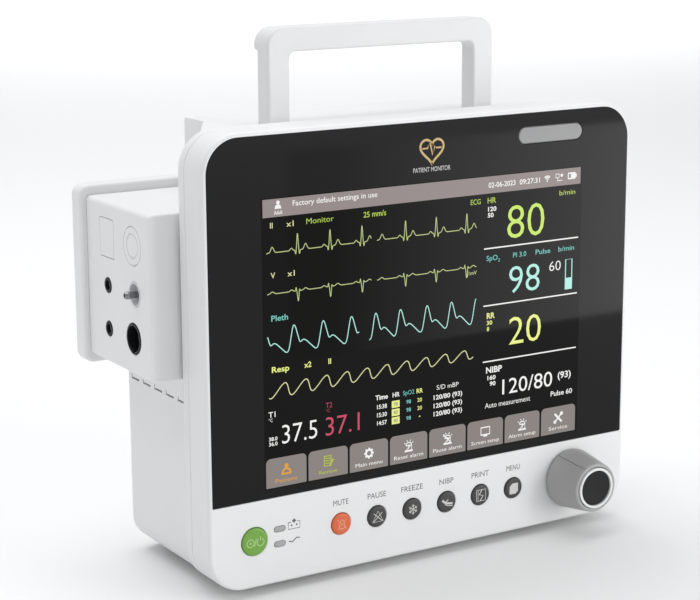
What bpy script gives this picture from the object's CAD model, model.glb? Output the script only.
import bmesh
import bpy
import numpy as np
from mathutils import Matrix, Vector


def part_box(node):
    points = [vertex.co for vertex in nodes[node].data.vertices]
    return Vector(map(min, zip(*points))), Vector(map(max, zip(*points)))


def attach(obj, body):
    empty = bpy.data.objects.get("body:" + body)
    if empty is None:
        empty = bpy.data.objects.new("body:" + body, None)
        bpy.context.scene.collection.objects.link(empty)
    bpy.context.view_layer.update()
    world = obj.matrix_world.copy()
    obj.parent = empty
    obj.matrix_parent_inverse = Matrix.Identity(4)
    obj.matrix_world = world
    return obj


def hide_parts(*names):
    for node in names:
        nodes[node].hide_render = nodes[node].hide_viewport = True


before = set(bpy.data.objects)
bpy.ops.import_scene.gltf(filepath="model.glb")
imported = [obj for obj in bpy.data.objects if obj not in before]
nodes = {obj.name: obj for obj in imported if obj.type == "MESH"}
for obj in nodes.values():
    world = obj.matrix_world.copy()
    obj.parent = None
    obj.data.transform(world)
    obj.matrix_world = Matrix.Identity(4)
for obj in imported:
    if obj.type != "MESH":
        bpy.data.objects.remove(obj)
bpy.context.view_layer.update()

# ------------------------------------------------------------------ where things are
# The monitor is laid out in millimetres from one point: the middle of the front panel's width, on the
# face of the glass, at the height of the middle of the display. X is right, Y is back and Z is up.
MM = 0.001
display_low, display_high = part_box("lcd_panel")
panel_low, panel_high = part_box("front_housing")
datum = np.array([
    (panel_low.x + panel_high.x) / 2,
    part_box("front_glass")[0].y,
    (display_low.z + display_high.z) / 2,
])


def span(node):
    """Lowest and highest corner of a CAD node, in millimetres from the datum."""
    low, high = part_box(node)
    return (np.array(low) - datum) / MM, (np.array(high) - datum) / MM


# ------------------------------------------------------------------ camera, floor and lights
# A long lens to the left of the monitor and a little above it, and a wide pale floor. One soft light hangs
# overhead, one stands at the front right and one lights the floor behind. A glowing card only shows as a
# reflection in the glass.
def put_in(name, data):
    """Puts new data into the scene as an object."""
    made = bpy.data.objects.new(name, data)
    bpy.context.scene.collection.objects.link(made)
    return made


def linear(colour):
    """An sRGB hex colour as the linear red, green, blue and alpha that the shaders work in."""
    channels = np.array([int(colour[i:i + 2], 16) for i in (1, 3, 5)]) / 255
    low = channels / 12.92
    high = ((channels + 0.055) / 1.055) ** 2.4
    return tuple(np.where(channels <= 0.04045, low, high)) + (1.0,)


class Finish:
    """A material while it is put together. Its textures follow the object's own coordinates."""

    def __init__(self, name):
        self.material = bpy.data.materials.new(name)
        self.material.use_nodes = True
        self.tree = self.material.node_tree
        self.tree.nodes.clear()
        self.where = self.add("TexCoord", "Object")

    def add(self, kind, out, links=None, **settings):
        """Adds a node and gives back one of its outputs. Links say which output feeds which input. Settings
        whose name is an input go to that socket, the others to the node itself."""
        made = self.tree.nodes.new(f"ShaderNode{kind}")
        for name, value in settings.items():
            socket = made.inputs.get(name.replace("_", " "))
            if socket is not None:
                socket.default_value = value
            else:
                setattr(made, name, value)
        for name, source in (links or {}).items():
            self.tree.links.new(source, made.inputs[name])
        return made.outputs[out]

    def noise(self, size, where=None, **settings):
        """Noise with lumps about so many metres wide."""
        where = self.where if where is None else where
        return self.add("TexNoise", "Fac", {"Vector": where}, Scale=1 / size, **settings)

    def between(self, source, low, high, **settings):
        """Spreads a value that runs from 0 to 1 over low to high."""
        return self.add("MapRange", "Result", {"Value": source}, To_Min=low, To_Max=high, **settings)

    def blend(self, share, colour, other=None, **settings):
        """A colour mixed by a share, from the first one to the other, or from black to the only one."""
        mixed = self.add("Mix", 2, {"Factor": share}, data_type="RGBA", **settings)
        mixed.node.inputs[6].default_value = linear(colour if other else "#000000")
        mixed.node.inputs[7].default_value = linear(other or colour)
        return mixed

    def end(self, links=None, kind="BsdfPrincipled", **settings):
        """Joins the shader to the output and gives back the material."""
        shader = self.add(kind, 0, links, **settings)
        output = self.tree.nodes.new("ShaderNodeOutputMaterial")
        self.tree.links.new(shader, output.inputs[0])
        return self.material


def flat_card(name, corners, finish):
    """A four-sided card from its corners, in metres. It belongs to the stage, not to the monitor."""
    mesh = bpy.data.meshes.new(name)
    mesh.from_pydata(corners, [], [(0, 1, 2, 3)])
    mesh.materials.append(finish)
    card = put_in(name, mesh)
    return card


def soft_light(name, place, aim, size, power, spread=180):
    """A square area light that points from its place to its aim, both in metres. Spread is in degrees."""
    data = bpy.data.lights.new(name, "AREA")
    data.size = size
    data.energy = power
    data.spread = np.radians(spread)
    turned = (Vector(aim) - Vector(place)).to_track_quat("-Z", "Y").to_matrix().to_4x4()
    put_in(name, data).matrix_world = Matrix.Translation(place) @ turned


camera_data = bpy.data.cameras.new("camera")
camera_data.sensor_width = 36
camera_data.lens = 98.70
camera = put_in("camera", camera_data)
azimuth, elevation, roll = np.radians([-31.71, 12.52, -0.268])
camera.matrix_world = (
    Matrix.Translation(datum + np.array([-687.65, -1013.3, 287.0]) * MM)
    @ Matrix.Rotation(azimuth, 4, "Z") @ Matrix.Rotation(np.pi / 2 - elevation, 4, "X")
    @ Matrix.Rotation(roll, 4, "Z"))
bpy.context.scene.camera = camera
bpy.context.scene.view_settings.view_transform = "Standard"

world = bpy.data.worlds.new("studio")
world.use_nodes = True
world.node_tree.nodes["Background"].inputs["Color"].default_value = linear("#FAFBFF")
world.node_tree.nodes["Background"].inputs["Strength"].default_value = 0.62
bpy.context.scene.world = world

FLOOR_HALF = 30.0
floor_cloth = Finish("pale_floor")
mottle = floor_cloth.add("TexNoise", "Fac", Scale=3.0, Detail=4.0)
tone = floor_cloth.blend(mottle, "#F1F1F0", "#F6F6F5")
flat_card("floor", [
    (-FLOOR_HALF, -FLOOR_HALF, 0), (FLOOR_HALF, -FLOOR_HALF, 0),
    (FLOOR_HALF, FLOOR_HALF, 0), (-FLOOR_HALF, FLOOR_HALF, 0),
], floor_cloth.end({"Base Color": tone}, Roughness=0.8))

soft_light("overhead", (-0.2, 0.55, 2.2), (0, 0.1, 0.2), 2.4, 34)
soft_light("front_right", (1.5, -2.4, 0.8), (0, 0, 0.1), 1.4, 27)
soft_light("background", (2.9, 4.9, 3.0), (2.9, 4.9, 0), 5.0, 60, 90)

CARD = {"left": 0.20, "right": 1.6, "y": -0.567, "top": 0.2}
card_glow = Finish("reflected_card")
across = card_glow.add("SeparateXYZ", "X", {"Vector": card_glow.where})
fade = card_glow.between(across, 0.9, 5.6, From_Min=0.25, From_Max=0.62)
card = flat_card("reflected_card", [
    (CARD["left"], CARD["y"], 0), (CARD["right"], CARD["y"], 0),
    (CARD["right"], CARD["y"], CARD["top"]), (CARD["left"], CARD["y"], CARD["top"]),
], card_glow.end({"Strength": fade}, "Emission"))
card.visible_camera = False
card.visible_diffuse = False
card.visible_shadow = False

# ------------------------------------------------------------------ front housing
# One injection-moulded ABS cover with a soft edge all round. It has a shallow step for the glass, a window
# for the display, and holes for the keys, the lamps and the knob's shaft. The mould's fine spark texture
# breaks up the highlights.
ALONG = {"x": 0, "y": 1, "z": 2}
ACROSS = {"x": [1, 2], "y": [0, 2], "z": [0, 1]}
WALL = 2.6
CLEARANCE = 0.3


def rounded_rectangle(left, right, low, high, radius, inset=0.0, top_radius=None, steps=12):
    """Corners are quarter circles. An inset moves each side inwards and shrinks the circles as much."""
    top_radius = radius if top_radius is None else top_radius
    turn = np.linspace(0, np.pi / 2, steps + 1)
    corners = (
        (right, low, radius, -1, 1, -np.pi / 2), (right, high, top_radius, -1, -1, 0),
        (left, high, top_radius, 1, -1, np.pi / 2), (left, low, radius, 1, 1, np.pi),
    )
    arcs = []
    for x, z, size, toward_x, toward_z, start in corners:
        round_size = max(size - inset, 0.03)
        middle = np.array([x + toward_x * (inset + round_size), z + toward_z * (inset + round_size)])
        angle = turn + start
        arcs.append(middle + round_size * np.stack([np.cos(angle), np.sin(angle)], -1))
    return np.concatenate(arcs)


def circle(x, z, radius, inset=0.0, around=64):
    """A circle whose radius shrinks by the inset."""
    angle = np.arange(around) / around * 2 * np.pi
    return np.stack([x + (radius - inset) * np.cos(angle), z + (radius - inset) * np.sin(angle)], -1)


def walls(grid, closed=False):
    """The four-sided faces between neighbouring rings of a grid of point numbers."""
    near, far = (grid, np.roll(grid, -1, 0)) if closed else (grid[:-1], grid[1:])
    return np.stack([near, np.roll(near, -1, 1), np.roll(far, -1, 1), far], -1).reshape(-1, 4).tolist()


def skin(rings):
    """Joins equal rings of points by four-sided faces and closes both ends with a flat face."""
    rings = np.asarray(rings, float)
    grid = np.arange(rings.shape[0] * rings.shape[1]).reshape(rings.shape[:2])
    return rings.reshape(-1, 3), walls(grid) + [grid[0][::-1].tolist(), grid[-1].tolist()]


def ring_of(flat, distance, axis="y"):
    """A flat outline, placed square to an axis at a distance along it."""
    ring = np.empty((len(flat), 3))
    ring[:, ALONG[axis]] = distance
    ring[:, ACROSS[axis]] = flat
    return ring


def slab(outline, stations, axis="y"):
    """Carries an outline along an axis. Each station is (distance, inset of the outline there)."""
    return skin([ring_of(outline(inset), distance, axis) for distance, inset in stations])


def block(bounds, radius, stations, axis="y", steps=6):
    """A slab with rounded corners. Bounds are its left, right, low and high side."""
    return slab(lambda inset: rounded_rectangle(*bounds, radius, inset, steps=steps), stations, axis)


def rod(x, z, radius, stations, axis="y", around=64):
    """A slab with a round outline."""
    return slab(lambda inset: circle(x, z, radius, inset, around), stations, axis)


def box_shape(x0, x1, y0, y1, z0, z1):
    """A plain block, for cutting."""
    return block((x0, x1, z0, z1), 0.03, [(y0, 0), (y1, 0)], steps=4)


def soft_ends(start, end, near, far, steps=5):
    """Stations of a slab whose end edges are quarter rounds: radius near at the start, far at the end."""
    turn = np.linspace(0, np.pi / 2, steps + 1)
    first = [(start + near * (1 - np.cos(t)), near * (1 - np.sin(t))) for t in turn] if near else [(start, 0)]
    last = [(end - far * (1 - np.cos(t)), far * (1 - np.sin(t))) for t in turn[::-1]] if far else [(end, 0)]
    return first + last


def flared(mouth, end, flare, steps=4):
    """Stations of a cutting tool whose mouth leaves a rounded lip of radius flare on the hole's edge."""
    way = np.sign(end - mouth)
    turn = np.linspace(0, np.pi / 2, steps + 1)
    lip = [(mouth + way * flare * (1 - np.cos(t)), -flare * (1 - np.sin(t))) for t in turn]
    return [(mouth - 2 * way, -flare)] + lip + [(end, 0)]


def gather(shapes):
    """Several shapes as one list of points and one list of faces."""
    points, faces, first = [], [], 0
    for shape_points, shape_faces in shapes:
        points.append(shape_points)
        faces += [[first + i for i in face] for face in shape_faces]
        first += len(shape_points)
    return np.concatenate(points), faces


def to_mesh(shape, flat=False):
    """Puts points in millimetres from the datum into a Blender mesh in metres. The faces of a closed shape
    are turned outwards, and those of a flat drawing to the front. A mesh passes through as it is."""
    if isinstance(shape, bpy.types.Mesh):
        return shape
    points, faces = shape
    mesh = bpy.data.meshes.new("shape")
    mesh.from_pydata(datum + np.asarray(points) * MM, [], faces)
    work = bmesh.new()
    work.from_mesh(mesh)
    if flat:
        work.normal_update()
        bmesh.ops.reverse_faces(work, faces=[face for face in work.faces if face.normal.y > 0])
    else:
        bmesh.ops.recalc_face_normals(work, faces=work.faces)
    work.to_mesh(mesh)
    work.free()
    mesh.update()
    return mesh


def carve(shape, tools, operation="DIFFERENCE"):
    """Cuts closed tools out of a closed shape, or joins them to it, with Blender's exact boolean."""
    body = put_in("carved", to_mesh(shape))
    helpers = [body]
    for tool in tools:
        helpers.append(put_in("tool", to_mesh(tool)))
        cutting = body.modifiers.new("cut", "BOOLEAN")
        cutting.object = helpers[-1]
        cutting.operation = operation
        cutting.solver = "EXACT"
    bpy.context.view_layer.update()
    result = bpy.data.meshes.new_from_object(body.evaluated_get(bpy.context.evaluated_depsgraph_get()))
    for helper in helpers:
        bpy.data.objects.remove(helper)
    return result


def piece(name, shape, finish, slot, stands_for=None, body="case", smooth=38.0):
    """Makes the finished object: its material and slot, the CAD node that it replaces, the body that carries
    it, and smooth shading up to an angle in degrees."""
    mesh = to_mesh(shape)
    mesh.materials.clear()
    mesh.materials.append(finish)
    mesh.shade_smooth()
    mesh.set_sharp_from_angle(angle=np.radians(smooth))
    made = put_in(name, mesh)
    flats = made.modifiers.new("flat_faces_stay_flat", "WEIGHTED_NORMAL")
    flats.keep_sharp = True
    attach(made, body)
    if stands_for:
        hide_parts(stands_for)
    return made


def moulded_plastic(name, colour, shade, roughness, grain_mm=0.9, depth=0.5, gloss=0.5):
    """Spark-eroded mould texture: fine noise for the bump, and wide soft noise between two close colours.
    The grain is drawn several times coarser than the real 0.1 mm, so that it still shows."""
    made = Finish(name)
    cloud = made.noise(0.045, Detail=3.0)
    grain = made.noise(grain_mm * MM, Detail=2.0)
    bump = made.add("Bump", "Normal", {"Height": grain}, Strength=depth, Distance=0.00004)
    rough = made.between(cloud, roughness - 0.06, roughness + 0.06)
    tone = made.blend(cloud, colour, shade)
    return made.end({"Base Color": tone, "Roughness": rough, "Normal": bump},
                    IOR=1.54, Specular_IOR_Level=gloss)


def middle_of(node, axis="y"):
    """The middle of a CAD node seen along an axis: X and Z, or Y and Z from the side."""
    low, high = span(node)
    return (low[ACROSS[axis]] + high[ACROSS[axis]]) / 2


def bounds_of(node, gap=0.0, axis="y"):
    """Left, right, low and high side of a CAD node seen along an axis, each moved out by the gap."""
    low, high = span(node)
    first, second = ACROSS[axis]
    return low[first] - gap, high[first] + gap, low[second] - gap, high[second] + gap


PANEL_CORNER = 25
PANEL_FACE = 4.5
GLASS_CORNER = 22
FRONT_EDGE = 2.6
LAMPS = ("battery_lamp", "mains_lamp")
key_names = ("mute", "pause", "freeze", "pressure", "print", "menu")
KEY_RADIUS = {name: 7.2 for name in key_names} | {"power": 9.2}
key_middles = {name: middle_of(f"{name}_button") for name in key_names + ("power",)}
knob_x, knob_z = middle_of("knob_body")
_, half_width, panel_base, panel_top = bounds_of("front_housing")
panel_back = span("front_housing")[1][1]


def panel_outline(inset):
    return rounded_rectangle(-half_width, half_width, panel_base, panel_top, PANEL_CORNER, inset, steps=20)


def glass_outline(inset):
    left, _, low, high = bounds_of("front_glass")
    return rounded_rectangle(left, -left, low, high, 0.6, inset, GLASS_CORNER, steps=20)


def pill_outline(node, grow=0.0):
    """The long round-ended outline of a lens, with its sides moved out by grow."""
    left, right, low, high = bounds_of(node)
    return lambda inset: rounded_rectangle(
        left, right, low, high, (high - low) / 2 - 0.02, inset - grow, steps=10)


white_abs = moulded_plastic("white_moulded_abs", "#E9E9E8", "#E3E4E4", 0.46)
white_shell = (white_abs, "housing_white")
through = PANEL_FACE + 1
window_left, window_right, window_low, window_high = bounds_of("lcd_panel", -5)
front_tools = [
    slab(lambda inset: panel_outline(inset + WALL), [(PANEL_FACE, 0), (panel_back + 2, 0)]),
    slab(lambda inset: glass_outline(inset - CLEARANCE), flared(0, 2 + CLEARANCE, 0.3)),
    box_shape(window_left, window_right, -1, through, window_low, window_high),
    rod(knob_x, knob_z, 3.6, [(-1, 0), (through, 0)]),
]
front_tools += [rod(*middle, KEY_RADIUS[name] + CLEARANCE, flared(0, through, 0.55))
                for name, middle in key_middles.items()]
front_tools += [slab(pill_outline(f"{lamp}_lens", CLEARANCE), flared(0, through, 0.3)) for lamp in LAMPS]
front_cover = carve(slab(panel_outline, soft_ends(0, panel_back, FRONT_EDGE, 0.9)), front_tools)
piece("front_cover", front_cover, *white_shell, "front_housing")

# ------------------------------------------------------------------ rear housing
# The deep white moulding behind the front cover. It keeps the cover's outline for a few millimetres,
# then sweeps in to the deep box. Its upper left shoulder is cut back for the parameter module.
REAR_START = panel_back + CLEARANCE
REAR_BACK = span("mount_plate")[0][1] - CLEARANCE
RIM_END = 30.0
SWEEP_END = 43.0
BOX_HALF = 159.0
BOX_TOP = 129.5
BOX_CORNER = 18.0
BACK_EDGE = 2.5
SHOULDER_X = -112
module_low, module_high = span("module_housing")
SHELF = module_low[2] - 0.4


def rear_ring(distance, inset):
    """The case outline at a distance: the rim, a smooth sweep inwards, then the box."""
    share = np.clip((distance - RIM_END) / (SWEEP_END - RIM_END), 0, 1)
    sweep = share * share * (3 - 2 * share)
    wide = half_width + (BOX_HALF - half_width) * sweep
    top = panel_top + (BOX_TOP - panel_top) * sweep
    corner = PANEL_CORNER + (BOX_CORNER - PANEL_CORNER) * sweep
    return ring_of(rounded_rectangle(-wide, wide, panel_base, top, corner, inset, steps=20), distance)


def rear_form(wall):
    """The closed outer form, or with a wall thickness the hollow inside it, with the upper left shoulder cut
    away: a wedge behind the rim, and the bay that the module stands in."""
    stations = soft_ends(REAR_START - 3 * wall, REAR_BACK - wall, 0 if wall else 0.9, BACK_EDGE)
    between = np.linspace(RIM_END, SWEEP_END, 12)
    stations = stations[:-6] + [(distance, 0) for distance in between] + stations[-6:]
    form = skin([rear_ring(distance, inset + wall) for distance, inset in stations])
    far = 260
    wedge = np.array([
        [-far, RIM_END + 2.2 - wall], [-150 + wall, RIM_END + 2.2 - wall], [SHOULDER_X + wall, 100],
        [SHOULDER_X + wall, far], [-far, far],
    ])
    bay = (-far, module_high[0] + 0.3 + wall, module_low[1] - 0.3 - wall, far,
           SHELF - wall, module_high[2] + 0.3 + wall)
    return carve(form, [slab(lambda inset: wedge, [(SHELF - wall, 0), (far, 0)], "z"), box_shape(*bay)])


# Under the module's front end the shelf drops away and leaves a dark gap.
drop = np.array([[RIM_END + 2.2, SHELF - 4], [60, SHELF], [60, SHELF + 1], [RIM_END + 2.2, SHELF + 1]])
rear_tools = [slab(lambda inset: drop, [(-170, 0), (SHOULDER_X, 0)], "x")]

# Two openings in the roof, for the handle's legs.
handle_low, handle_high = span("handle")
LEG_WIDTH = 16.0
LEG_DEPTH = 15.0
for side in (-1, 1):
    leg = sorted((side * (handle_high[0] + CLEARANCE), side * (handle_high[0] - LEG_WIDTH - CLEARANCE)))
    leg += [handle_low[1] - CLEARANCE, handle_low[1] + LEG_DEPTH + CLEARANCE]
    rear_tools.append(block(leg, 2.4, flared(BOX_TOP, BOX_TOP - 6, 0.5), "z", 5))

# Five air slots under the module: a long flat stroke with a short upright at its rear end.
VENT = {"first": 52.7, "pitch": 17, "length": 11.5, "stroke": 1.3, "z": -41, "upright": 2.2}
vent_low, vent_high = VENT["z"] - VENT["stroke"] / 2, VENT["z"] + VENT["stroke"] / 2
vent_depth = flared(-BOX_HALF, -BOX_HALF + WALL + 1, 0.25)
for n in range(5):
    y = VENT["first"] + VENT["pitch"] * n
    rear_tools += [
        block((y - VENT["length"], y, vent_low, vent_high), 0.5, vent_depth, "x", 4),
        block((y - VENT["stroke"], y, vent_high - 0.6, vent_high + VENT["upright"]), 0.5, vent_depth, "x", 4),
    ]


def back_opening(middle, half_wide, half_high, radius, flare=0.5):
    """A hole through the back wall, with a rounded lip outside."""
    x, z = middle
    bounds = (x - half_wide, x + half_wide, z - half_high, z + half_high)
    return block(bounds, radius, flared(REAR_BACK, REAR_BACK - WALL - 1, flare))


# The back's openings: five speaker slots, the battery's bay, the mains inlet, the network socket and the
# earth stud. The recorder's is in the right side, and each case screw has a shallow recess.
rear_tools += [back_opening(middle_of("speaker") + [0, 6 * n], 13, 1.2, 1.1, 0.4) for n in range(-2, 3)]
rear_tools += [
    back_opening((-93, -115), 53, 28, 0.6, 0.3),
    back_opening(middle_of("mains_inlet"), 14.4, 10.9, 1),
    back_opening(middle_of("lan_port"), 8.3, 7.3, 0.5),
    back_opening(middle_of("ground_stud"), 3.4, 3.4, 3.38),
    block(bounds_of("recorder_tub", CLEARANCE, "x"), 1.5, flared(BOX_HALF, BOX_HALF - WALL - 1, 0.5), "x"),
]
CASE_SCREWS = ((-92, 104), (140, 104), (140, -140), (-20, -140))
rear_tools += [rod(x, z, 4.6, flared(REAR_BACK, REAR_BACK - 2.2, 0.6), around=32) for x, z in CASE_SCREWS]
rear_case = carve(carve(rear_form(0), rear_tools), [rear_form(WALL)])
piece("rear_case", rear_case, *white_shell, "rear_housing")

# ------------------------------------------------------------------ carrying handle
# A pale moulded U. Its legs go down through the roof to the frame inside. The grip bar is deeper than the
# legs, so it ends in a small step behind them, and every edge is rounded for the hand.
GRIP_CORNER = {"outer": 12.0, "inner": 5.0}
GRIP_BAR = 16.0
GRIP_STEP = 15.7


def bend(half, foot, level, top, radius, steps=14):
    """One edge of the U seen from the front: up a leg, round a quarter circle, across, and down again."""
    turn = np.linspace(np.pi, np.pi / 2, steps)
    corner = np.stack([-half + radius + radius * np.cos(turn), top - radius + radius * np.sin(turn)], -1)
    left = np.concatenate([[[-half, foot], [-half, level]], corner, [[-half / 3, top]]])
    mirrored = left[::-1] * [-1, 1]
    return np.concatenate([left, mirrored])


def grip_section(outer, inner, front, back, radius=1.8, steps=5):
    """A rounded rectangle that spans from the outer to the inner edge of the U and from front to back."""
    wide = np.linalg.norm(inner - outer)
    flat = rounded_rectangle(0, wide, front, back, radius, steps=steps)
    return ring_of(outer + flat[:, :1] * (inner - outer) / wide, flat[:, 1])


half, foot, grip_top = handle_high[0], handle_low[2], handle_high[2]
front_y = handle_low[1]
leg_end = grip_top - GRIP_BAR - GRIP_CORNER["inner"] - 0.5
outer_edge = bend(half, foot, leg_end, grip_top, GRIP_CORNER["outer"])
inner_edge = bend(half - LEG_WIDTH, foot, leg_end, grip_top - GRIP_BAR, GRIP_CORNER["inner"])
legs_and_bar = skin([grip_section(outer, inner, front_y, front_y + LEG_DEPTH)
                     for outer, inner in zip(outer_edge, inner_edge)])
deep_bar = slab(lambda inset: rounded_rectangle(
    -half + 0.3, half - 0.3, grip_top - GRIP_STEP, grip_top - 0.3, 2.5, inset, GRIP_CORNER["outer"] - 0.3),
    soft_ends(front_y + 5, handle_high[1], 0.5, 2.5))
handle_abs = moulded_plastic("pale_grey_moulded_abs", "#E1E1E0", "#DCDCDC", 0.46)
piece("grip_handle", carve(legs_and_bar, [deep_bar], "UNION"), handle_abs, "housing_white", "handle",
      smooth=30)

# ------------------------------------------------------------------ cover glass and alarm lens
# Toughened glass printed black on its back, set flush in the front cover, with a small polished edge. The
# alarm lens is a smoked polycarbonate bar in a hole at the top right.
def polished(name, colour, roughness, specular):
    """Smooth printed glass or a clear coat: wipe marks show only as a slow change of the roughness."""
    made = Finish(name)
    wipes = made.noise(0.03, Detail=3.0, Distortion=1.5)
    return made.end({"Roughness": made.between(wipes, roughness, roughness + 0.05)},
                    Base_Color=linear(colour), IOR=1.5, Specular_IOR_Level=specular)


black_glass = polished("black_printed_glass", "#1D1D1E", 0.03, 0.1)
smoked_lens = polished("smoked_polycarbonate", "#8F8F8F", 0.16, 0.35)
lens_outline = pill_outline("alarm_lens")
lens_hole = slab(pill_outline("alarm_lens", 0.35), flared(0, 5, 0.3))
glass = carve(slab(glass_outline, soft_ends(0, 2, 0.35, 0.1, 3)), [lens_hole])
piece("cover_glass", glass, black_glass, "front_glass", "front_glass")
lens = slab(lens_outline, soft_ends(-0.5, 2, 0.9, 0, 5))
stalk = slab(lambda inset: lens_outline(inset + 3.2), [(1.5, 0), (PANEL_FACE + 3, 0)])
piece("alarm_lamp_bar", gather([lens, stalk]), smoked_lens, "grey_lens", "alarm_lens")

# ------------------------------------------------------------------ the display's picture
# The lit image, drawn as thin glowing shapes just over the glass: header, four traces, numbers, a small
# table of past readings and a row of eight touch tabs. All wording is plain and functional.
IMAGE = {"width": 246.0, "height": 184.5}
image_left, image_top = middle_of("lcd_panel") + [-IMAGE["width"] / 2, IMAGE["height"] / 2]


def band(one, other, closed=True):
    """Fills the space between two lines with as many points."""
    count = len(one)
    near = np.arange(count if closed else count - 1)
    far = (near + 1) % count
    return np.concatenate([one, other]), np.stack([near, far, far + count, near + count], -1).tolist()


def ribbon(points, width, closed=False):
    """A flat line: each point is moved half the width to both sides, square to its neighbours' direction."""
    points = np.asarray(points, float)
    if closed:
        ahead, back = np.roll(points, -1, 0), np.roll(points, 1, 0)
    else:
        ahead = np.concatenate([points[1:], points[-1:]])
        back = np.concatenate([points[:1], points[:-1]])
    way = ahead - back
    way /= np.maximum(np.linalg.norm(way, axis=1, keepdims=True), 1e-9)
    side = np.stack([-way[:, 1], way[:, 0]], -1) * width / 2
    return band(points + side, points - side, closed)


def area(points):
    """A flat filled outline."""
    return np.asarray(points, float), [list(range(len(points)))]


def patch(left, top, wide, high, radius=0.01, lower_radius=0.01):
    """A filled rectangle with its own radius for the upper and for the lower corners."""
    return area(rounded_rectangle(left, left + wide, top, top + high, radius, 0, lower_radius, steps=5))


def outline_box(left, top, right, bottom, width):
    """The outline of a rectangle."""
    return ribbon([(left, top), (right, top), (right, bottom), (left, bottom)], width, True)


def dot(x, y, radius):
    return area(circle(x, y, radius, around=20))


def hoop(x, y, radius, width, start=0.0, end=360.0, steps=28):
    """A thin arc from one angle to another, in degrees."""
    angle = np.radians(np.linspace(start, end, steps))
    return ribbon(np.stack([x + radius * np.cos(angle), y + radius * np.sin(angle)], -1), width)


def moved(shapes, x, y):
    """Shapes that are drawn round (0, 0), carried to (x, y)."""
    return [(points + [x, y], faces) for points, faces in shapes]


def text_shape(words, size=1.0, weight=0.0):
    """The font's letters as flat points and faces, before they are placed."""
    curve = bpy.data.curves.new("words", "FONT")
    curve.body = words
    curve.size = size
    curve.offset = weight
    curve.resolution_u = 3
    holder = bpy.data.objects.new("words", curve)
    mesh = bpy.data.meshes.new_from_object(holder)
    points = np.array([vertex.co[:2] for vertex in mesh.vertices])
    faces = [list(face.vertices) for face in mesh.polygons]
    bpy.data.objects.remove(holder)
    bpy.data.meshes.remove(mesh)
    return points, faces


CAPITAL = text_shape("H")[0][:, 1].max()


def words(text, x, base, height, width=None, weight=0.0, align=0.0):
    """Letters whose capitals are `height` tall on the line `base`. A width squeezes them to fit. Align is
    the share of the width that lies left of x. Y runs down, as on a display."""
    points, faces = text_shape(text, height / CAPITAL, weight * height)
    points = points - [points[:, 0].min(), 0]
    full = points[:, 0].max()
    squeeze = width / full if width else 1.0
    across = points[:, 0] * squeeze - align * full * squeeze
    return np.stack([x + across, base - points[:, 1]], -1), faces


def labels(*rows):
    """Several words, each from one row of what `words` takes."""
    return [words(*row) for row in rows]


def glowing(name, colour):
    """Light that leaves the display through the glass: an emitting picture under a glossy surface. A fine
    row pattern stands for the display's lines of dots, drawn coarser than the real 0.24 mm."""
    made = Finish(name)
    rows = made.add("TexWave", "Fac", {"Vector": made.where}, Scale=1 / 0.0014, bands_direction="Z")
    tint = made.blend(made.between(rows, 0.93, 1.05), colour, clamp_factor=False)
    return made.end({"Emission Color": tint}, Base_Color=(0.001, 0.001, 0.001, 1), Emission_Strength=1.0,
                    Roughness=0.04, IOR=1.5, Specular_IOR_Level=0.1)


def on_display(shape, lift):
    """Display millimetres (right from the left edge, down from the top edge) to the space of the case."""
    flat, faces = shape
    return ring_of(np.stack([image_left + flat[:, 0], image_top - flat[:, 1]], -1), -lift), faces


def drawing(name, shapes, finish, slot, lift, place=on_display, body="case"):
    """Flat shapes as one thin piece, lifted a little off what they lie on."""
    return piece(name, to_mesh(place(gather(shapes), lift), flat=True), finish, slot, body=body)


INK = {
    "dark": "#080807", "bar": "#978C8B", "tab": "#8B8480", "white": "#F4F4F2", "lime": "#B5CE58",
    "bright_lime": "#CBEA6E", "pale_lime": "#BFCB8C", "cyan": "#B6EFE4", "teal": "#79C8C0",
    "yellow": "#EDF48E", "cream": "#DADDA6", "rose": "#C9506A", "dull_rose": "#A94858",
    "orange": "#E3A03C", "leaf": "#B6C640",
}
glow_of = {name: glowing(f"display_{name}", colour) for name, colour in INK.items()}


def show(name, ink, shapes, lift=0.06):
    """One part of the lit picture."""
    drawing(f"display_{name}", shapes, glow_of[ink], "screen", lift)


HEADER = 11.3
TAB = {"count": 8, "first": -0.6, "pitch": 31.0, "width": 29.5, "top": 165.4, "height": 19.3}
tab_left = [TAB["first"] + TAB["pitch"] * n for n in range(TAB["count"])]
show("ground", "dark", [patch(-1.5, -1.0, IMAGE["width"] + 3, IMAGE["height"] + 2)], 0.02)
show("header", "bar", [patch(-0.5, -0.3, IMAGE["width"] + 0.8, HEADER)], 0.05)
show("tabs", "tab", [patch(x, TAB["top"], TAB["width"], TAB["height"], 3.2, 0.4) for x in tab_left], 0.05)

# The heart traces are a flat line plus one bell curve (offset, height, half width) for each wave of a beat.
BEATS = {"first": (0.1, 24.0, 47.6, 71.3), "second": (80.6, 104.3, 128.2, 152.4)}
LEAD_TWO = ((-4.4, 1.5, 1.1), (-1.35, -2.6, 0.38), (0, 10.6, 0.62), (1.4, -2.6, 0.4), (5.8, 3.5, 1.35))
CHEST = ((-4.6, 1.0, 1.3), (-1.3, 2.4, 0.32), (0.2, -6.6, 0.62), (1.2, 1.6, 0.3), (5.5, 1.3, 1.6))
SWEEPS = {"first": (2.0, 78.4), "second": (82.6, 160.5)}


def heart_trace(base, waves, sweep):
    """One sweep of a heart trace along its base line."""
    x = np.arange(*SWEEPS[sweep], 0.16)
    height = sum(tall * np.exp(-((x - beat - offset) / wide) ** 2)
                 for beat in BEATS[sweep] for offset, tall, wide in waves)
    return np.stack([x, base - height], -1)


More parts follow.
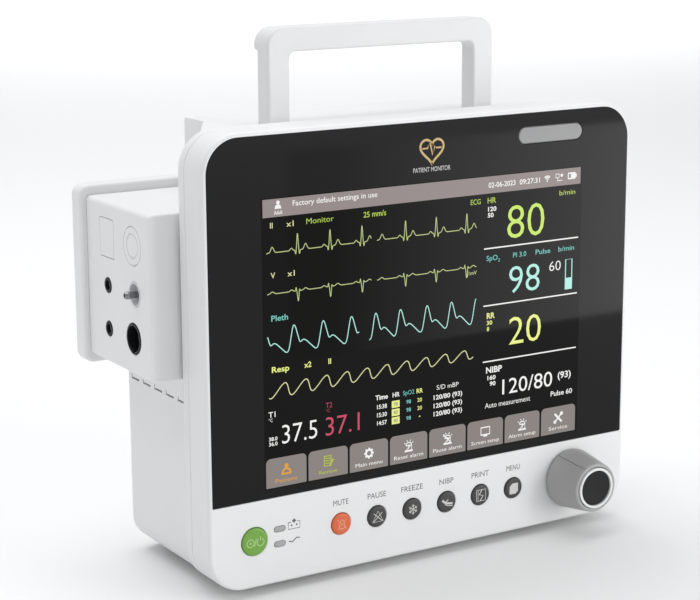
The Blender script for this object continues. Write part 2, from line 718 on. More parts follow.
def pulse_trace(peaks, start, end):
    """One beat runs from peak to peak: a quick fall, a notch, a small bump, a long fall and a steep rise."""
    x = np.arange(start, end, 0.2)
    phase = np.interp(x, peaks, np.arange(len(peaks))) % 1
    share = (0.0, 0.05, 0.19, 0.24, 0.31, 0.40, 0.72, 0.79, 0.84, 0.96, 1.0)
    level = (1.0, 0.92, 0.33, 0.34, 0.41, 0.37, 0.01, 0.02, 0.16, 0.94, 1.0)
    height = np.interp(phase, share, level)
    height = np.convolve(np.pad(height, 3, "edge"), np.ones(7) / 7, "valid")
    return np.stack([x, 97.9 - 17.6 * height], -1)


def breath_trace():
    """A cosine that leans: it rises slowly and falls fast, and its middle drifts upwards."""
    turn = np.linspace(-0.5, 10.28 * 2 * np.pi, 700)
    x = 3.5 + 15.25 * turn / (2 * np.pi) + 1.42 * (1 - np.cos(turn))
    tall = 8.9 - 0.017 * x
    return np.stack([x, 126.2 - 0.031 * x - tall * (1 - np.cos(turn)) / 2], -1)[:690]


show("heart_traces", "pale_lime", [ribbon(heart_trace(base, waves, sweep), 0.56)
                                   for base, waves in ((33.2, LEAD_TWO), (59.2, CHEST)) for sweep in SWEEPS])
show("pulse_trace", "cyan", [
    ribbon(pulse_trace((-0.5, 20.8, 42.2, 63.2, 84.4), 1.7, 69.0), 0.64),
    ribbon(pulse_trace((62.5, 81.6, 100.5, 121.3, 140.6, 160.6), 76.6, 160.5), 0.64),
])
show("breath_trace", "cream", [ribbon(breath_trace(), 0.66)])

# The right-hand column is ruled into four fields. A row holds the text, its place, height, width and weight.
show("rules", "white", [patch(166.5, y - 0.45, 78.8, 0.9) for y in (47.9, 86.7, 125.2)])
show("lime_words", "lime", labels(
    ("Monitor", 30.5, 17.6, 3.5, 20), ("25 mm/s", 72.5, 17.6, 3.5, 17, 0.02),
    ("ECG", 155.4, 17.4, 3.4, 8, 0.01),
    ("HR", 169, 17.5, 3.6, None, 0.02), ("b/min", 228.5, 17.6, 3.2, 13.5, 0.01)))
show("heart_rate", "bright_lime", labels(("80", 185.3, 43.0, 22.2, 30.8, -0.012)))
show("pale_words", "cream", labels(
    ("II", 4.6, 17.8, 3.4, None, 0.02), ("x1", 16.2, 17.8, 3.4, 5.2, 0.02),
    ("V", 4.6, 49.2, 3.4, None, 0.02),
    ("x1", 16.6, 49.2, 3.4, 5.2, 0.02), ("1mV", 154.3, 64.2, 2.6, 6.4),
) + [ribbon([(153.2, 61), (153.2, 65.4)], 0.5)])
show("teal_words", "teal", labels(
    ("Pleth", 4.6, 76.6, 3.6, 12, 0.02), ("SpO", 168.6, 56.2, 3.4, 9, 0.01),
    ("2", 178.2, 57.6, 2.2, None, 0.01),
    ("PI 3.0", 190.4, 56.2, 3.3, 11, 0.01), ("Pulse", 209.2, 56.2, 3.3, 12.5, 0.01),
    ("b/min", 228.5, 56.2, 3.3, 13.5, 0.01), ("SpO2", 102.6, 138.6, 2.9, 8.8),
    *[("98", 105.2, y, 2.5, 3.6, 0.02) for y in (144.7, 150.2, 155.8)]))
show("oxygen", "cyan", labels(("98", 187.4, 80.6, 18.4, 25.6, -0.012)) + [
    outline_box(235.0, 62.4, 240.4, 83.2, 0.8), patch(235.0, 75.2, 5.4, 8.0)])
show("yellow_words", "yellow", labels(
    ("RR", 169.3, 95.6, 3.7, 6.6, 0.04), ("30", 169.3, 99.9, 2.7, 4.6, 0.03),
    ("8", 169.5, 104.1, 2.7, None, 0.03),
    ("20", 187.9, 116.0, 18.8, 26.8, -0.01), ("Resp", 4.5, 109.5, 3.6, 12.6, 0.03),
    ("x2", 28, 109.4, 3.4, 5.2, 0.03), ("II", 45.8, 109.4, 3.4, None, 0.03),
    ("RR", 113.2, 138.7, 2.9, 5.0, 0.03),
    ("20", 113.9, 144.7, 2.5, 3.6, 0.02), ("20", 113.9, 150.2, 2.5, 3.6, 0.02),
) + [patch(115.2, 154.4, 1.1, 0.7)] + [patch(93.8, y, 6.1, 4.7) for y in (141.2, 146.8, 152.3)])
show("table_marks", "tab", labels(*[(rate, 96.85, y, 2.4, 3.4, 0.02, 0.5)
                                    for rate, y in (("78", 144.8), ("80", 150.3), ("80", 155.9))]), 0.08)
show("rose_numbers", "rose", labels(("37.1", 43.4, 156.8, 12.2, 25.6, -0.01)))
show("rose_words", "dull_rose", labels(("T2", 43.6, 138.2, 3.3, 4.8, 0.01), ("°C", 43.8, 141.2, 2.1, 2.8)))
show("white_words", "white", labels(
    ("120", 169.4, 22.9, 2.8, 6.8, 0.04), ("50", 169.2, 27.0, 2.8, 4.8, 0.04),
    ("60", 221.0, 69.0, 6.6, 9.8, -0.01),
    ("37.5", 11.3, 156.8, 12.2, 25.8, -0.01), ("T1", 1.7, 138.2, 3.4, 5.0, 0.02),
    ("°C", 1.8, 141.2, 2.1, 2.8),
    ("38.0", 1.7, 153.6, 2.3, 6.2, 0.03), ("36.0", 1.7, 156.9, 2.3, 6.2, 0.03),
    ("Time", 81.2, 138.7, 3.0, 9.6, 0.04),
    ("HR", 94.4, 138.7, 3.0, 5.6, 0.03), ("S/D mBP", 129.2, 138.7, 3.0, 17.6),
    ("NIBP", 169.2, 133.2, 4.0, 13.2, 0.04),
    ("160", 170.4, 138.1, 2.8, 6.8, 0.04), ("90", 172.4, 142.3, 2.8, 4.8, 0.04),
    ("120/80", 182.9, 149.9, 10.4, 42.4),
    ("(93)", 230.0, 145.4, 4.4, 11.4, 0.03), ("Auto measurement", 168.6, 157.6, 3.5, 38),
    ("Pulse 60", 224.2, 157.4, 3.4, 18.6, 0.02),
    ("Factory default settings in use", 20.8, 5.2, 3.3, 62, 0.01),
    ("Adult", 7.5, 9.5, 2.4, 6.0, 0.02), ("02-06-2023", 169.6, 7.2, 3.3, 22, 0.02),
    ("09:27:31", 195.0, 7.2, 3.3, 16.8, 0.02),
    *[(time, 82.4, y, 2.7, 7.6, 0.03) for time, y in (("15:38", 144.9), ("15:30", 150.4), ("14:57", 155.9))],
    *[("120/80 (93)", 126.8, y, 3.0, 23, 0.03) for y in (145.3, 151.0, 156.6)]), 0.08)

# The header's small signs: a person, a wireless fan, a network tree and a battery.
show("header_signs", "white", [
    dot(10.4, 2.1, 1.25), area([(7.9, 6.0), (8.6, 3.9), (10.4, 3.2), (12.2, 3.9), (12.9, 6.0)]),
    dot(218.0, 7.0, 0.55), *[hoop(218.0, 7.0, reach, 0.7, 228, 312, 10) for reach in (1.5, 2.5, 3.5)],
    outline_box(225.2, 2.9, 228.0, 5.4, 0.6), ribbon([(226.6, 5.6), (226.6, 7.4), (230.6, 7.4)], 0.6),
    dot(230.2, 4.0, 1.1), patch(235.4, 2.7, 6.6, 4.6, 0.8, 0.8), patch(242.0, 3.9, 0.9, 2.2),
], 0.08)
show("battery_level", "bar", [patch(236.2, 3.6, 1.8, 2.8)], 0.1)


def siren():
    """A warning lamp with four rays, for the alarm tabs."""
    dome = circle(0, 0, 2.3, around=25)
    dome = dome[dome[:, 1] <= 0.1]
    rays = [ribbon([(reach * np.sin(angle), -reach * np.cos(angle)) for reach in (3.1, 4.3)], 0.6)
            for angle in (-1.0, -0.35, 0.35, 1.0)]
    flash = ribbon([(0.4, -1), (-0.6, 0.8), (0.4, 0.9), (-0.3, 2.3)], 0.5)
    lamp = ribbon(np.concatenate([dome, [(-2.3, 3.0), (2.3, 3.0)]]), 0.7, True)
    return [lamp, patch(-3.2, 2.9, 6.4, 1.2), flash] + rays


def gear(outside=3.7, inside=1.6, teeth=8):
    """A ring whose outer edge steps in and out once for each tooth."""
    angle = np.linspace(0, 2 * np.pi, 97)[:-1]
    way = np.stack([np.cos(angle), np.sin(angle)], -1)
    reach = outside - 0.75 * (np.cos(teeth * angle) < 0)
    return band(way * reach[:, None], way * inside)


TAB_SIGNS = (
    ("Patient", [dot(0, -2.2, 1.5), hoop(0, 2.6, 2.9, 1.3, 180, 360, 16),
                 patch(-3.6, 2.4, 7.2, 1.2, 0.5, 0.5)]),
    ("Review", [outline_box(-2.9, -3.4, 2.1, 3.2, 0.9), ribbon([(3.8, -0.8), (1.2, 3.4)], 1.2),
                *[ribbon([(-2.0, y), (1.2, y)], 0.6) for y in (-1.8, -0.2, 1.4)]]),
    ("Main menu", [gear()]),
    ("Reset alarm", siren()),
    ("Pause alarm", siren() + [ribbon([(-3.4, -3.4), (3.4, 3.8)], 0.7)]),
    ("Screen setup", [outline_box(-3.6, -2.9, 3.6, 2.2, 1.0), patch(-1.6, 2.6, 3.2, 1.0)]),
    ("Alarm setup", siren()),
    ("Service", [ribbon([(-3.1, -3.1), (3.1, 3.1)], 1.5), ribbon([(3.1, -3.1), (-3.1, 3.1)], 1.1),
                 dot(2.8, -2.8, 1.3), dot(-2.8, 2.8, 1.2)]),
)
SIGN_ROW, LABEL_ROW = 173.6, 181.9
tabs = []
for (text, sign), left in zip(TAB_SIGNS, tab_left):
    x = left + TAB["width"] / 2
    label = words(text, x, LABEL_ROW, 2.5, min(23.0, 2.3 * len(text)), 0.0, 0.5)
    tabs.append(moved(sign, x, SIGN_ROW) + [label])
show("patient_tab", "orange", tabs[0], 0.08)
show("review_tab", "leaf", tabs[1], 0.08)
show("white_tabs", "white", sum(tabs[2:], []), 0.08)

# ------------------------------------------------------------------ sign on the glass
# A plain heart with a pulse line through it, screen-printed in gold on the glass, over two grey words.
def print_ink(name, colour, roughness=0.5):
    """Screen-printing ink: a thin even film, slightly uneven where the mesh let less ink through."""
    made = Finish(name)
    return made.end({"Base Color": made.blend(made.between(made.noise(0.0008), 0.88, 1.0), colour)},
                    Roughness=roughness)


gold_ink = print_ink("gold_print_ink", "#C9A86A", 0.4)
grey_ink = print_ink("light_grey_print_ink", "#B9B9B7")
HEART = {"x": 124.6, "y": -21.5, "half": 9.0}
turn = np.linspace(0, 2 * np.pi, 61)[:-1]
heart = np.stack([
    16 * np.sin(turn) ** 3,
    5 * np.cos(2 * turn) + 2 * np.cos(3 * turn) + np.cos(4 * turn) - 13 * np.cos(turn),
], -1) * HEART["half"] / 16
pulse = np.array([(-7.4, 0), (-3.4, 0), (-1.9, -4.2), (0.6, 4.6), (2.2, -1.6), (3.2, 0), (7.4, 0)]) - [0, 1.2]
drawing("glass_sign", moved([ribbon(heart, 1.5, True), ribbon(pulse, 1.1)], HEART["x"], HEART["y"]),
        gold_ink, "brass", 0.05)
drawing("glass_words", labels(("PATIENT MONITOR", HEART["x"], -7.6, 2.9, 29, 0.02, 0.5)),
        grey_ink, "housing_white", 0.05)

# ------------------------------------------------------------------ keys, their signs and the lamps
# Seven round keys of moulded ABS with a shallow dome, each printed with a light sign. Two small lamp lenses
# and their signs stand beside the power key, and a grey word stands over each function key.
def lathe(profile, centre, axis="y", around=64, closed=False):
    """Carries a profile of (radius, distance) points round an axis through the centre. A point on the axis
    stays one point, where triangles meet; a closed profile makes a ring."""
    profile = np.asarray(profile, float)
    poles = [] if closed else [i for i in (0, len(profile) - 1) if profile[i, 0] < 1e-6]
    keep = [i for i in range(len(profile)) if i not in poles]
    rings = np.stack([ring_of(circle(0, 0, profile[i, 0], around=around), profile[i, 1], axis) for i in keep])
    grid = np.arange(len(keep) * around).reshape(len(keep), around)
    faces = walls(grid, closed)
    points = rings.reshape(-1, 3)
    for pole in poles:
        ring = grid[0] if pole == 0 else grid[-1]
        faces += [[a, b, len(points)] for a, b in zip(ring.tolist(), np.roll(ring, -1).tolist())]
        points = np.concatenate([points, ring_of(np.zeros((1, 2)), profile[pole, 1], axis)])
    return points + np.asarray(centre, float), faces


def eased(profile, radius=0.4, steps=4, closed=False):
    """Rounds a profile's corners: each is replaced by a parabola that starts and ends `radius` away from it,
    or nearer where the sides are short."""
    points = np.asarray(profile, float)
    count = len(points)
    inner = range(count) if closed else range(1, count - 1)
    result = [] if closed else [points[:1]]
    share = np.linspace(0, 1, steps + 1)[:, None]
    for i in inner:
        corner, before, after = points[i], points[i - 1], points[(i + 1) % count]
        into, out = before - corner, after - corner
        start = corner + into * min(radius / max(np.linalg.norm(into), 1e-9), 0.45)
        end = corner + out * min(radius / max(np.linalg.norm(out), 1e-9), 0.45)
        result.append((1 - share) ** 2 * start + 2 * share * (1 - share) * corner + share ** 2 * end)
    return np.concatenate(result + ([] if closed else [points[-1:]]))


def turned(profile, ease, centre, axis="y", around=64, closed=False, steps=4):
    """A turned part: a profile with eased corners, carried round its axis."""
    return lathe(eased(profile, ease, steps, closed), centre, axis, around, closed)


KEY_DOME = 1.35
CROWN = 0.12
DOME_EDGE = 0.9
KEY_COLLAR = 1.6
KEY_STEM = 2.4
KEY_STEM_END = span("mute_button")[1][1]


def key_shape(middle, radius):
    """A dome, a rounded edge, the skirt, a collar behind the wall and the stem."""
    share = np.linspace(0, 1, 9)
    dome = np.stack([share * (radius - DOME_EDGE), -KEY_DOME + CROWN * share ** 2], -1)
    collar, behind = radius + KEY_COLLAR, PANEL_FACE + 0.4
    rest = [(radius - 0.2, -0.7), (radius, 0.2), (radius, behind), (collar, behind),
            (collar, behind + 1.4), (KEY_STEM, behind + 1.4), (KEY_STEM, KEY_STEM_END), (0, KEY_STEM_END)]
    return lathe(np.concatenate([dome, eased([dome[-1], *rest], 0.35)[1:]]), (middle[0], 0, middle[1]))


def around_key(name):
    """Puts a flat sign, drawn round (0, 0) with Y down, on the dome of a key."""
    def place(shape, lift):
        flat, faces = shape
        reach = np.linalg.norm(flat, axis=1) / (KEY_RADIUS[name] - DOME_EDGE)
        return ring_of(key_middles[name] + flat * [1, -1], CROWN * reach ** 2 - KEY_DOME - lift), faces
    return place


def bell(size):
    """An alarm bell in outline, drawn as a narrow dome on a wide foot, crossed out."""
    left = [(-3.4, 3.0), (-2.2, 1.4), (-1.9, -1.0), (-1.1, -2.6), (0, -3.2)]
    outline = np.array(left + [(-x, y) for x, y in left[-2::-1]]) * size
    crossing = [ribbon(np.array([(-3.6 * way, -3.6), (3.6 * way, 3.6)]) * size, 0.5) for way in (1, -1)]
    return [ribbon(outline, 0.6, True), hoop(0, 3.2 * size, 0.8 * size, 0.5, 0, 180, 10), *crossing]


def snowflake(reach=3.6):
    """Six arms, each with a pair of short branches."""
    arms = []
    for angle in np.radians(np.arange(0, 360, 60) + 30):
        way = np.array([np.cos(angle), np.sin(angle)])
        arms.append(ribbon([way * 0.2, way * reach], 0.55))
        for turned_by in (-0.9, 0.9):
            side = np.array([np.cos(angle + turned_by), np.sin(angle + turned_by)])
            arms.append(ribbon([way * reach * 0.55, way * reach * 0.55 + side * 1.3], 0.5))
    return arms


key_signs = {
    "power": [hoop(-3.6, 0.3, 2.5, 0.75), dot(-3.6, 0.3, 0.75), ribbon([(-0.9, 2.9), (0.7, -2.6)], 0.7),
              hoop(3.6, 0.4, 2.5, 0.75, -55, 235), ribbon([(3.6, -3.3), (3.6, -0.6)], 0.75)],
    "mute": bell(0.95),
    "pause": [ribbon([(0, -3.9), (4.1, 3.4), (-4.1, 3.4)], 0.6, True),
              ribbon([(-3.3, -2.6), (3.4, 3.2)], 0.5), ribbon([(3.3, -2.6), (-3.4, 3.2)], 0.5)],
    "freeze": snowflake(),
    "pressure": [ribbon([(-4.2, -1.9), (-2.6, -0.4), (-0.8, 0.6), (4.2, 1.4)], 1.5),
                 ribbon([(-2.2, 1.1), (0.2, 2.4), (4.2, 3.0)], 0.6),
                 ribbon([(-1.2, -0.6), (0.6, -1.8)], 0.8)],
    "print": [outline_box(-3.7, -3.9, 3.7, 3.9, 0.5),
              ribbon([(0.6, -3.8), (-1.5, -0.6), (1.6, 0.4), (-0.7, 3.8)], 0.75),
              ribbon([(-2.5, -3.6), (-2.5, 3.6)], 0.35)],
    "menu": [area([(-3.7, -1.6), (-1.6, -3.7), (3.4, -3.7), (3.4, 1.9), (1.6, 3.9), (-3.7, 3.9)])],
}
dark_key = moulded_plastic("dark_grey_abs", "#3B3A39", "#434241", 0.42, gloss=0.3)
white_ink = print_ink("white_print_ink", "#D2D2D0")
key_looks = {
    "power": (moulded_plastic("green_glossy_abs", "#6B9F3C", "#7BAA4A", 0.34, gloss=0.35), "green_key",
              print_ink("pale_green_print_ink", "#A9D184")),
    "mute": (moulded_plastic("orange_glossy_abs", "#D65A30", "#DD6E44", 0.34, gloss=0.35), "orange_key",
             print_ink("pale_orange_print_ink", "#F0A07C")),
}
for name in ("power",) + key_names:
    finish, slot, ink = key_looks.get(name, (dark_key, "dark_key", white_ink))
    key = f"{name}_key"
    piece(f"{key}_cap", key_shape(key_middles[name], KEY_RADIUS[name]), finish, slot, f"{name}_button", key)
    drawing(f"{key}_sign", key_signs[name], ink, slot, 0.09, around_key(name), key)

# The grey print on the strip: the keys' words, and a battery and a mains sign beside the lamps.
KEY_WORDS = {"mute": "MUTE", "pause": "PAUSE", "freeze": "FREEZE", "pressure": "NIBP", "print": "PRINT",
             "menu": "MENU"}
strip_ink = print_ink("grey_print_ink", "#595958")
strip = labels(*[(text, key_middles[name][0] - image_left, 205.1, 3.7, 2.85 * len(text), 0.0, 0.5)
                 for name, text in KEY_WORDS.items()])
strip += moved([
    ribbon([(-4.3, -2.2), (-2.0, -2.2)], 0.45),
    ribbon([(2.0, -2.2), (4.3, -2.2), (4.3, 2.4), (-4.3, 2.4), (-4.3, -2.2)], 0.45),
    dot(-1.9, 0, 0.65), dot(1.9, 0, 0.65), area([(-1.5, -2.8), (0, -4.4), (1.5, -2.8), (0, -1.2)]),
], 19.3, 212.0)
strip.append(ribbon([(15.3, 222.4), (17.9, 223.2), (21.0, 220.8), (23.4, 221.2)], 0.75))
drawing("strip_print", strip, strip_ink, "housing_white", 0.03)

lamp_lens = moulded_plastic("frosted_grey_polycarbonate", "#9EA29F", "#A9ADA9", 0.3)
for lamp in LAMPS:
    window = slab(pill_outline(f"{lamp}_lens"), soft_ends(-0.2, through, 0.5, 0, 4))
    piece(f"{lamp}_window", window, lamp_lens, "grey_lens", f"{lamp}_lens")

# ------------------------------------------------------------------ knob
# A tapered grey ABS knob with a fine index groove, a white ring pressed into its end and a black cap inside
# the ring. It turns on the encoder's steel shaft and pushes in to choose.
knob_grey = moulded_plastic("grey_satin_abs", "#A1A1A0", "#A9A9A7", 0.5, gloss=0.4)
cap_black = moulded_plastic("black_satin_abs", "#121213", "#18181A", 0.5, gloss=0.18)
knob_middle = (knob_x, 0, knob_z)
knob_low, knob_high = span("knob_body")
knob_end, knob_back = knob_low[1] + 0.5, knob_high[1]
KNOB = {"base": 21.0, "front": 17.4, "seat": -26.6, "ring_out": 14.2, "ring_in": 12.5, "bore": 3.3,
        "bore_end": -20.1}
GROOVE_ANGLE = 122
knob = turned([
    (0, KNOB["seat"]), (KNOB["ring_out"] + 0.3, KNOB["seat"]), (KNOB["ring_out"] + 0.3, knob_end),
    (KNOB["front"] - 0.4, knob_end), (KNOB["front"] + 0.2, knob_end + 3.4), (KNOB["base"], -2.4),
    (KNOB["base"] - 0.4, knob_back), (KNOB["bore"], knob_back), (KNOB["bore"], KNOB["bore_end"]),
    (0, KNOB["bore_end"]),
], 1.5, knob_middle, around=96, steps=6)
outward = np.array([np.cos(np.radians(GROOVE_ANGLE)), np.sin(np.radians(GROOVE_ANGLE))])
sideways = np.array([-outward[1], outward[0]]) * 0.28
groove = []
for distance, radius in ((knob_end - 1, KNOB["front"] - 0.75), (0, KNOB["base"] - 0.45)):
    corners = [outward * reach + sideways * way
               for reach, way in ((radius, -1), (radius + 3, -1), (radius + 3, 1), (radius, 1))]
    groove.append(ring_of(np.array(corners) + [knob_x, knob_z], distance))
piece("knob_grip", carve(knob, [skin(groove)]), knob_grey, "knob_grey", "knob_body", "knob", 30)

ring_low, ring_high = span("knob_ring")
knob_ring = turned([
    (KNOB["ring_out"], ring_low[1]), (KNOB["ring_in"], ring_low[1]), (KNOB["ring_in"], ring_high[1]),
    (KNOB["ring_out"], ring_high[1]),
], 0.35, knob_middle, around=96, closed=True)
piece("knob_end_ring", knob_ring, *white_shell, "knob_ring", "knob")

CAP_RADIUS = 12.2
cap_low, cap_high = span("knob_cap")
share = np.linspace(0, 1, 8)
dish = np.stack([share * 10.6, cap_low[1] + 0.45 - 0.35 * share ** 2], -1)
rim = eased([dish[-1], (CAP_RADIUS, cap_low[1] + 0.1), (CAP_RADIUS, cap_high[1]), (0, cap_high[1])], 0.5)
piece("knob_end_cap", lathe(np.concatenate([dish, rim[1:]]), knob_middle, around=96), cap_black,
      "black_plastic", "knob_cap", "knob")

# ------------------------------------------------------------------ parameter module
# A box of the same white ABS that stands in the cut-back shoulder, with a thicker rear cover. Its left side
# carries two blank covers, the cuff connector, two probe sockets and the round lead socket.
SIDE = module_low[0]
POCKET = 1.5
COVER_GAP = 0.45
SOCKET_HOLES = {"cuff_cup": 8.1, "ecg_socket": 10.3, "temperature_socket_1": 5.2, "temperature_socket_2": 5.2}
pocket = flared(SIDE, SIDE + POCKET, 0.15)
blank_low, blank_high = span("blank_cover_square")
_, _, round_low, round_high = bounds_of("blank_cover_round", 0, "x")
blank_radius = (round_high - round_low) / 2


def module_outline(inset):
    return rounded_rectangle(*bounds_of("module_housing"), 3.4, inset, steps=8)


def cover_outline(inset):
    return rounded_rectangle(*bounds_of("module_rear_cover"), 7.0, inset, steps=12)


module_tools = [
    slab(lambda inset: module_outline(inset + WALL), [(module_low[1] + WALL, 0), (module_high[1] + 1, 0)]),
    block(bounds_of("blank_cover_square", COVER_GAP, "x"), 1.6, pocket, "x"),
    rod(*middle_of("blank_cover_round", "x"), blank_radius + COVER_GAP, pocket, "x"),
]
module_tools += [rod(*middle_of(node, "x"), radius, flared(SIDE, SIDE + WALL + 1, 0.35), "x")
                 for node, radius in SOCKET_HOLES.items()]
module_case = carve(slab(module_outline, soft_ends(module_low[1], module_high[1], 1.7, 0.5)), module_tools)
piece("module_case", module_case, *white_shell, "module_housing")

cover_low, cover_high = span("module_rear_cover")
MODULE_SCREWS = {"lower": (-105, 8), "upper": (-105, 58)}
inner_left, inner_right, inner_low, inner_high = bounds_of("module_housing", -WALL)
cover_tools = [box_shape(inner_left, inner_right, module_high[1] - 1, cover_high[1] - WALL,
                         inner_low, inner_high)]
for middle in MODULE_SCREWS.values():
    cover_tools += [rod(*middle, 4, flared(cover_high[1], cover_high[1] - 6, 0.5), around=32),
                    rod(*middle, 2, [(cover_low[1] - 1, 0), (cover_high[1] - 5, 0)], around=24)]
module_cover = carve(slab(cover_outline, soft_ends(cover_low[1], cover_high[1], 2.2, 3.0)), cover_tools)
piece("module_back_cover", module_cover, *white_shell, "module_rear_cover")


def on_side(node, profile, ease, around=64, closed=False, steps=4):
    """A turned part at a CAD node's middle. Its profile's distances start at the module's side."""
    y, z = middle_of(node, "x")
    return turned([(radius, SIDE + depth) for radius, depth in profile], ease, (0, y, z), "x", around, closed,
                  steps)


square_blank = block(bounds_of("blank_cover_square", 0, "x"), 1.4,
                     soft_ends(blank_low[0], blank_high[0], 0.4, 0.1, 4), "x")
piece("square_blank", square_blank, *white_shell, "blank_cover_square")
round_blank = on_side("blank_cover_round", [
    (0, 0.1), (7.4, 0.1), (7.4, 0.8), (8.1, 0.8), (8.1, 0), (blank_radius, 0), (blank_radius, 1.2), (0, 1.2),
], 0.12, 72)
piece("round_blank", round_blank, *white_shell, "blank_cover_round")


def brushed_metal(name, colour, roughness, line_mm=0.5, axis="x"):
    """Turned or brushed metal: fine lines from noise that is stretched along one axis."""
    made = Finish(name)
    stretch = [1.0, 1.0, 1.0]
    stretch[ALONG[axis]] = 0.03
    where = made.add("Mapping", "Vector", {"Vector": made.where}, Scale=stretch)
    lines = made.noise(line_mm * MM, where, Detail=3.0)
    bump = made.add("Bump", "Normal", {"Height": lines}, Strength=0.15, Distance=0.00003)
    rough = made.between(lines, roughness - 0.08, roughness + 0.1)
    return made.end({"Roughness": rough, "Normal": bump}, Base_Color=linear(colour), Metallic=1.0)


steel = brushed_metal("zinc_plated_steel", "#B9BCC0", 0.34)
turned_steel = brushed_metal("turned_nickel_plated_steel", "#8E9092", 0.3, 0.3, "y")
brass = brushed_metal("turned_brass", "#C9A45A", 0.28, 0.3, "z")
socket_black = moulded_plastic("black_moulded_nylon", "#121315", "#18191B", 0.5, gloss=0.25)
cup_grey = moulded_plastic("light_grey_moulded_nylon", "#D6D8D9", "#DCDEDF", 0.5)
dark_nylon = moulded_plastic("dark_grey_nylon", "#2D2E30", "#37383A", 0.5)

cuff_cup = on_side("cuff_cup", [(2.9, 5.5), (6.9, 5.5), (6.9, -0.3), (7.8, -0.3), (7.8, 7), (2.9, 7)],
                   0.3, closed=True)
piece("cuff_socket_cup", cuff_cup, cup_grey, "knob_grey", "cuff_cup")
nozzle = on_side("cuff_cup", [(1.1, -7), (1.9, -7), (2.6, -5), (2.6, -3.8), (2.1, -3.4), (2.1, 2), (2.6, 2.4),
                              (2.6, 14), (1.1, 14)], 0.25, 48, True)
piece("cuff_hose_nozzle", nozzle, turned_steel, "steel", "cuff_nozzle")


def socket_profile(bore, lip, flange, bottom, front):
    """A socket's shell: its bore's bottom, the lip, the flange behind the wall and the closed rear end."""
    behind = WALL + 0.4
    return [(0, bottom), (bore, bottom), (bore, front), (lip, front), (lip, behind), (flange, behind),
            (flange, 16), (0, 16)]


for n in (1, 2):
    node = f"temperature_socket_{n}"
    socket = on_side(node, socket_profile(3.2, 4.9, 6.2, 14, -0.4), 0.3, 48)
    piece(f"probe_socket_{n}", socket, socket_black, "black_plastic", node)
    bush = on_side(node, [(3.15, 2), (2.55, 2.4), (2.55, 9), (3.15, 9)], 0.2, 48, True, 3)
    piece(f"probe_socket_bush_{n}", bush, turned_steel, "steel")

PIN_CIRCLE = 3.4
ecg_y, ecg_z = middle_of("ecg_socket", "x")
key_way = box_shape(SIDE - 2, SIDE + 4, ecg_y - 1.1, ecg_y + 1.1, ecg_z - 9.3, ecg_z - 7)
lead_socket = on_side("ecg_socket", socket_profile(8.4, 10, 11.4, 12, -0.5), 0.35, 72)
piece("lead_socket_shell", carve(lead_socket, [key_way]), socket_black, "black_plastic", "ecg_socket")
pin_block = on_side("ecg_socket", [(0, 5.5), (5.6, 5.5), (5.6, 11.7), (0, 11.7)], 0.4, 48)
pin_holes = [rod(ecg_y + PIN_CIRCLE * np.cos(angle), ecg_z + PIN_CIRCLE * np.sin(angle), 0.7,
                 flared(SIDE + 5.5, SIDE + 9, 0.2), "x", 16) for angle in np.radians(np.arange(0, 360, 60))]
piece("lead_pin_block", carve(pin_block, pin_holes), dark_nylon, "dark_key", "ecg_pin_block")


def screw(name, middle, seat, top, radius, stands_for=None):
    """A pan-headed steel screw, rounded on top, with a cross recess cut into it, on a short shank."""
    x, z = middle
    arms = [box_shape(x - w, x + w, top - 1.2, top + 1, z - h, z + h) for w, h in ((0.45, 1.9), (1.9, 0.45))]
    head = turned([(0, top), (radius * 0.7, top), (radius, top - 0.9), (radius, seat), (1.7, seat),
                   (1.7, seat - 6), (0, seat - 6)], 0.5, (x, 0, z), around=40)
    piece(name, carve(head, arms), steel, "steel", stands_for)


for name, middle in MODULE_SCREWS.items():
    seat = cover_high[1] - 5.7
    screw(f"module_cover_screw_{name}", middle, seat, seat + 3, 3.5, f"module_screw_{name}")
for n, middle in enumerate(CASE_SCREWS):
    screw(f"case_screw_{n + 1}", middle, REAR_BACK - 2.1, REAR_BACK - 0.2, 3.4)

# ------------------------------------------------------------------ feet
# Four moulded rubber feet, each pushed through a hole in the base by a stem.
foot_rubber = moulded_plastic("black_nitrile_rubber", "#333334", "#3C3C3D", 0.82, 0.7, 0.8, 0.25)
for corner in ("front_left", "front_right", "rear_left", "rear_right"):
    node = f"foot_{corner}"
    low, high = span(node)
    seat = panel_base - 0.3
    foot = turned([
        (0, low[2]), (8, low[2]), (9.3, low[2] + 1.6), (9.5, seat), (3, seat), (3, high[2]), (0, high[2]),
    ], 0.6, (*middle_of(node, "z"), 0), "z", 48)
    piece(f"rubber_{node}", foot, foot_rubber, "rubber", node)


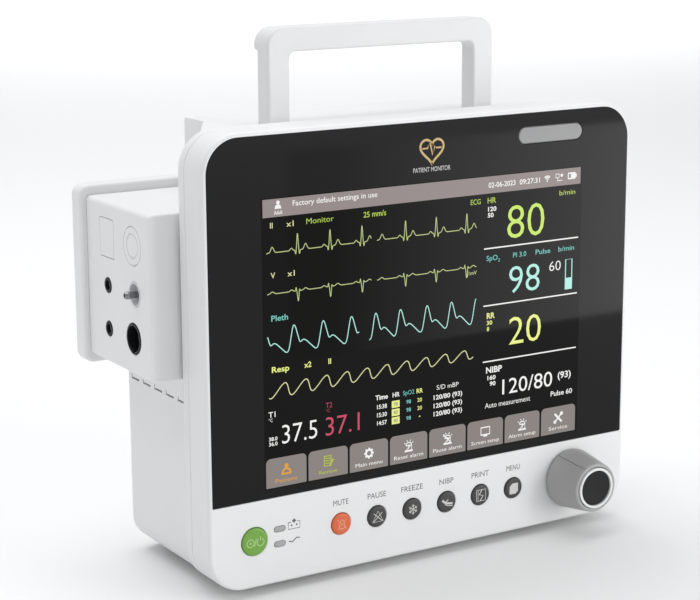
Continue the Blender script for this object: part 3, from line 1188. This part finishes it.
# ------------------------------------------------------------------ pieces whose CAD shape is right
# Flat-sided parts keep the shape they have, and only get soft edges: a merged copy of each, with the flat
# faces joined up and a small bevel on its sharp edges. The earth stud is turned anew.
def softened(node, name, finish, slot, width, body="case"):
    """A copy of a CAD node with its loose triangles merged, its flat faces joined, and bevelled edges."""
    mesh = nodes[node].data.copy()
    work = bmesh.new()
    work.from_mesh(mesh)
    bmesh.ops.remove_doubles(work, verts=work.verts, dist=0.00001)
    bmesh.ops.dissolve_limit(work, angle_limit=np.radians(0.6), verts=work.verts, edges=work.edges)
    work.to_mesh(mesh)
    work.free()
    made = piece(name, mesh, finish, slot, node, body, 30)
    edges = made.modifiers.new("soft_edges", "BEVEL")
    edges.width = width * MM
    edges.segments = 2
    edges.angle_limit = np.radians(40)
    edges.harden_normals = False
    made.modifiers.move(len(made.modifiers) - 1, 0)


softened("battery_door", "battery_door_leaf", *white_shell, 0.5, "battery_door")
softened("recorder_door", "recorder_door_leaf", *white_shell, 0.6, "recorder_door")
softened("recorder_tub", "recorder_bay", dark_nylon, "dark_key", 0.3)
softened("mains_inlet", "mains_socket", socket_black, "black_plastic", 0.3)
softened("lan_port", "network_socket", steel, "steel", 0.2)
softened("mount_plate", "wall_mount_plate", steel, "steel", 0.4)
stud_x, stud_z = middle_of("ground_stud")
stud = turned([
    (0, 118), (3, 118), (3, 127.3), (7, 127.3), (7, 130), (3, 130), (3, 139), (2.2, 140), (0, 140),
], 0.35, (stud_x, 0, stud_z), around=48)
piece("earth_stud", stud, brass, "brass", "ground_stud")

# The CAD nodes that stay as they are: inside the case, or behind the doors.
board = moulded_plastic("solder_masked_circuit_board", "#1D5A3B", "#216544", 0.4, 2.0)
paper_white = moulded_plastic("thermal_paper", "#F0EFEA", "#E8E7E1", 0.85, 0.5, 0.3, 0.2)
pack_blue = moulded_plastic("blue_shrink_sleeve", "#3A475A", "#42506A", 0.4)
KEPT = {
    "key_board": board, "main_board": board, "parameter_board": board, "paper_roll": paper_white,
    "paper_spindle": cup_grey, "platen_roller": foot_rubber, "battery_pack": pack_blue,
    "speaker": dark_nylon, "pressure_valve": socket_black, "lcd_panel": socket_black,
    "encoder_slider": socket_black,
}
for name, made in nodes.items():
    if not made.hide_render:
        made.data.materials.clear()
        made.data.materials.append(KEPT.get(name, steel))
